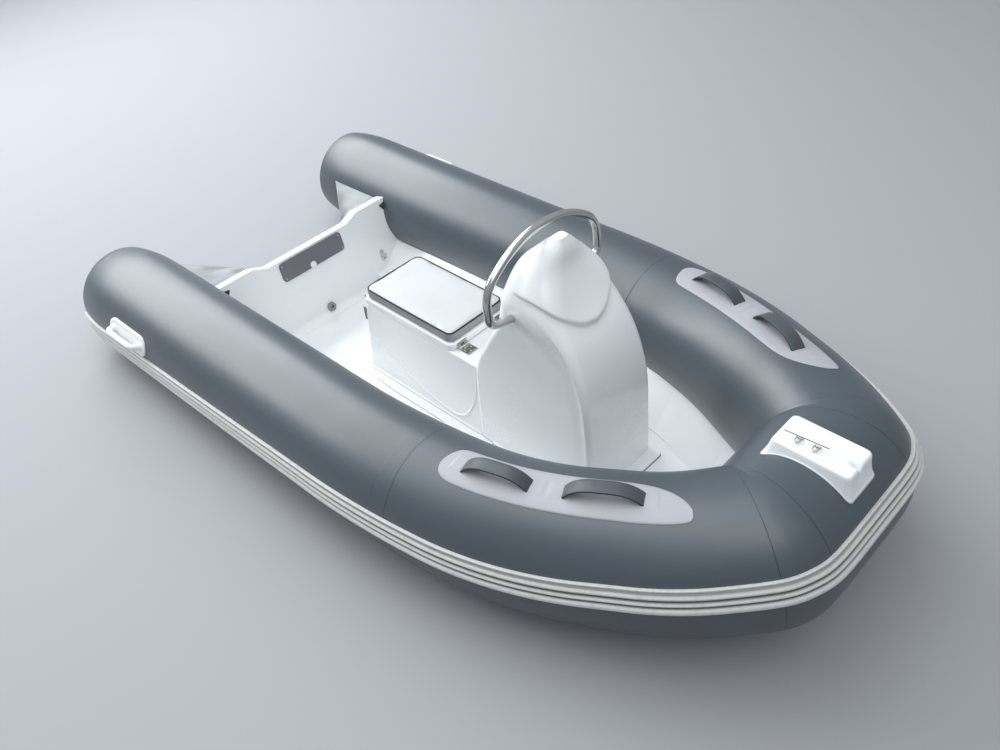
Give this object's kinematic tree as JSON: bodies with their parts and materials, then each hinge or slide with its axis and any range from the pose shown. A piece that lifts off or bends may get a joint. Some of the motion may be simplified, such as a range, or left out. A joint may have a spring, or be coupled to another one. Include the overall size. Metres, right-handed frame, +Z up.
{
  "type": "rigid inflatable boat",
  "caption": "Small rigid inflatable boat: grey tubes round a white hull, with a seat locker under a hinged lid, a console, a grab rail, a bow step and carry straps.",
  "frame": {"origin": "on the centreline, amidships, in the plane of the waterline", "axes": "+X to the bow, +Y to port, +Z up"},
  "size_m": [2.7897, 1.595, 1.0211],
  "materials": {
    "tube_grey": "satin coated fabric",
    "strake_white": "satin",
    "patch_white": "satin",
    "strap_grey": "woven strap",
    "moulded_white": "moulded",
    "pad_grey": "textured",
    "stainless": "polished stainless steel",
    "cushion_white": "coated upholstery",
    "gelcoat_white": "glossy gelcoat"
  },
  "bodies": {
    "hull": {"bow_patch": "tube_grey", "bow_ring": "moulded_white", "bow_step": "gelcoat_white", "carry_strap_aft_port": "strap_grey", "carry_strap_aft_starboard": "strap_grey", "carry_strap_fore_port": "strap_grey", "carry_strap_fore_starboard": "strap_grey", "console_plinth": "gelcoat_white", "console_pod": "gelcoat_white", "console_rail": "stainless", "deck_liner": "gelcoat_white", "drain_fitting": "moulded_white", "hull_bottom": "gelcoat_white", "motor_pad_inner": "pad_grey", "motor_pad_outer": "pad_grey", "rail_socket_port": "stainless", "rail_socket_starboard": "stainless", "rub_strake_bow": "strake_white", "rub_strake_port": "strake_white", "rub_strake_starboard": "strake_white", "seat_box": "gelcoat_white", "seat_hinge_fixed": "stainless", "seat_latch": "stainless", "step_fittings": "stainless", "stern_cone_port": "tube_grey", "stern_cone_starboard": "tube_grey", "stern_handle_port": "moulded_white", "stern_handle_starboard": "moulded_white", "strap_patch_port": "patch_white", "strap_patch_starboard": "patch_white", "transom": "gelcoat_white", "transom_eye_port": "stainless", "transom_eye_starboard": "stainless", "transom_web_port": "tube_grey", "transom_web_starboard": "tube_grey", "tube_bow": "tube_grey", "tube_port": "tube_grey", "tube_starboard": "tube_grey"},
    "seat_lid": {"seat_lid": "gelcoat_white", "seat_cushion": "cushion_white", "seat_hinge_moving": "stainless", "seat_catch": "stainless"}
  },
  "joints": [
    {"name": "seat_lid_hinge", "type": "hinge", "parent": "hull", "child": "seat_lid", "pos_m": [0.012, 0, 0.306], "axis": [0, 1, 0], "range_deg": [0, 100]}
  ]
}
